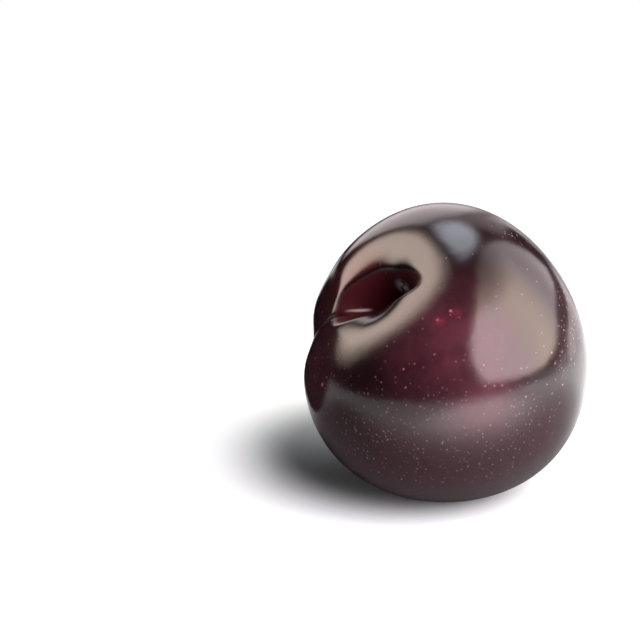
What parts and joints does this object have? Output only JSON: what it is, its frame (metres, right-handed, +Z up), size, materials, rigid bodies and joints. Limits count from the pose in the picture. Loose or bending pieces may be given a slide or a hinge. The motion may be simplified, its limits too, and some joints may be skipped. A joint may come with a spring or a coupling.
{
  "type": "plum",
  "caption": "Ripe dark plum with a deep stem cavity and a suture groove, lying with its stem end up and to the left.",
  "frame": {"origin": "middle of the fruit's plan at the height of the surface that it rests on", "axes": "+Z up from the resting surface; -Y to the side the fruit is looked at from; the stem cavity faces -X, -Y and +Z"},
  "size_m": [0.06, 0.0642, 0.0619],
  "materials": {
    "plum_skin": "waxy glossy black-purple fruit skin with small pale specks"
  },
  "bodies": {
    "root": {"plum": "plum_skin"}
  },
  "joints": []
}
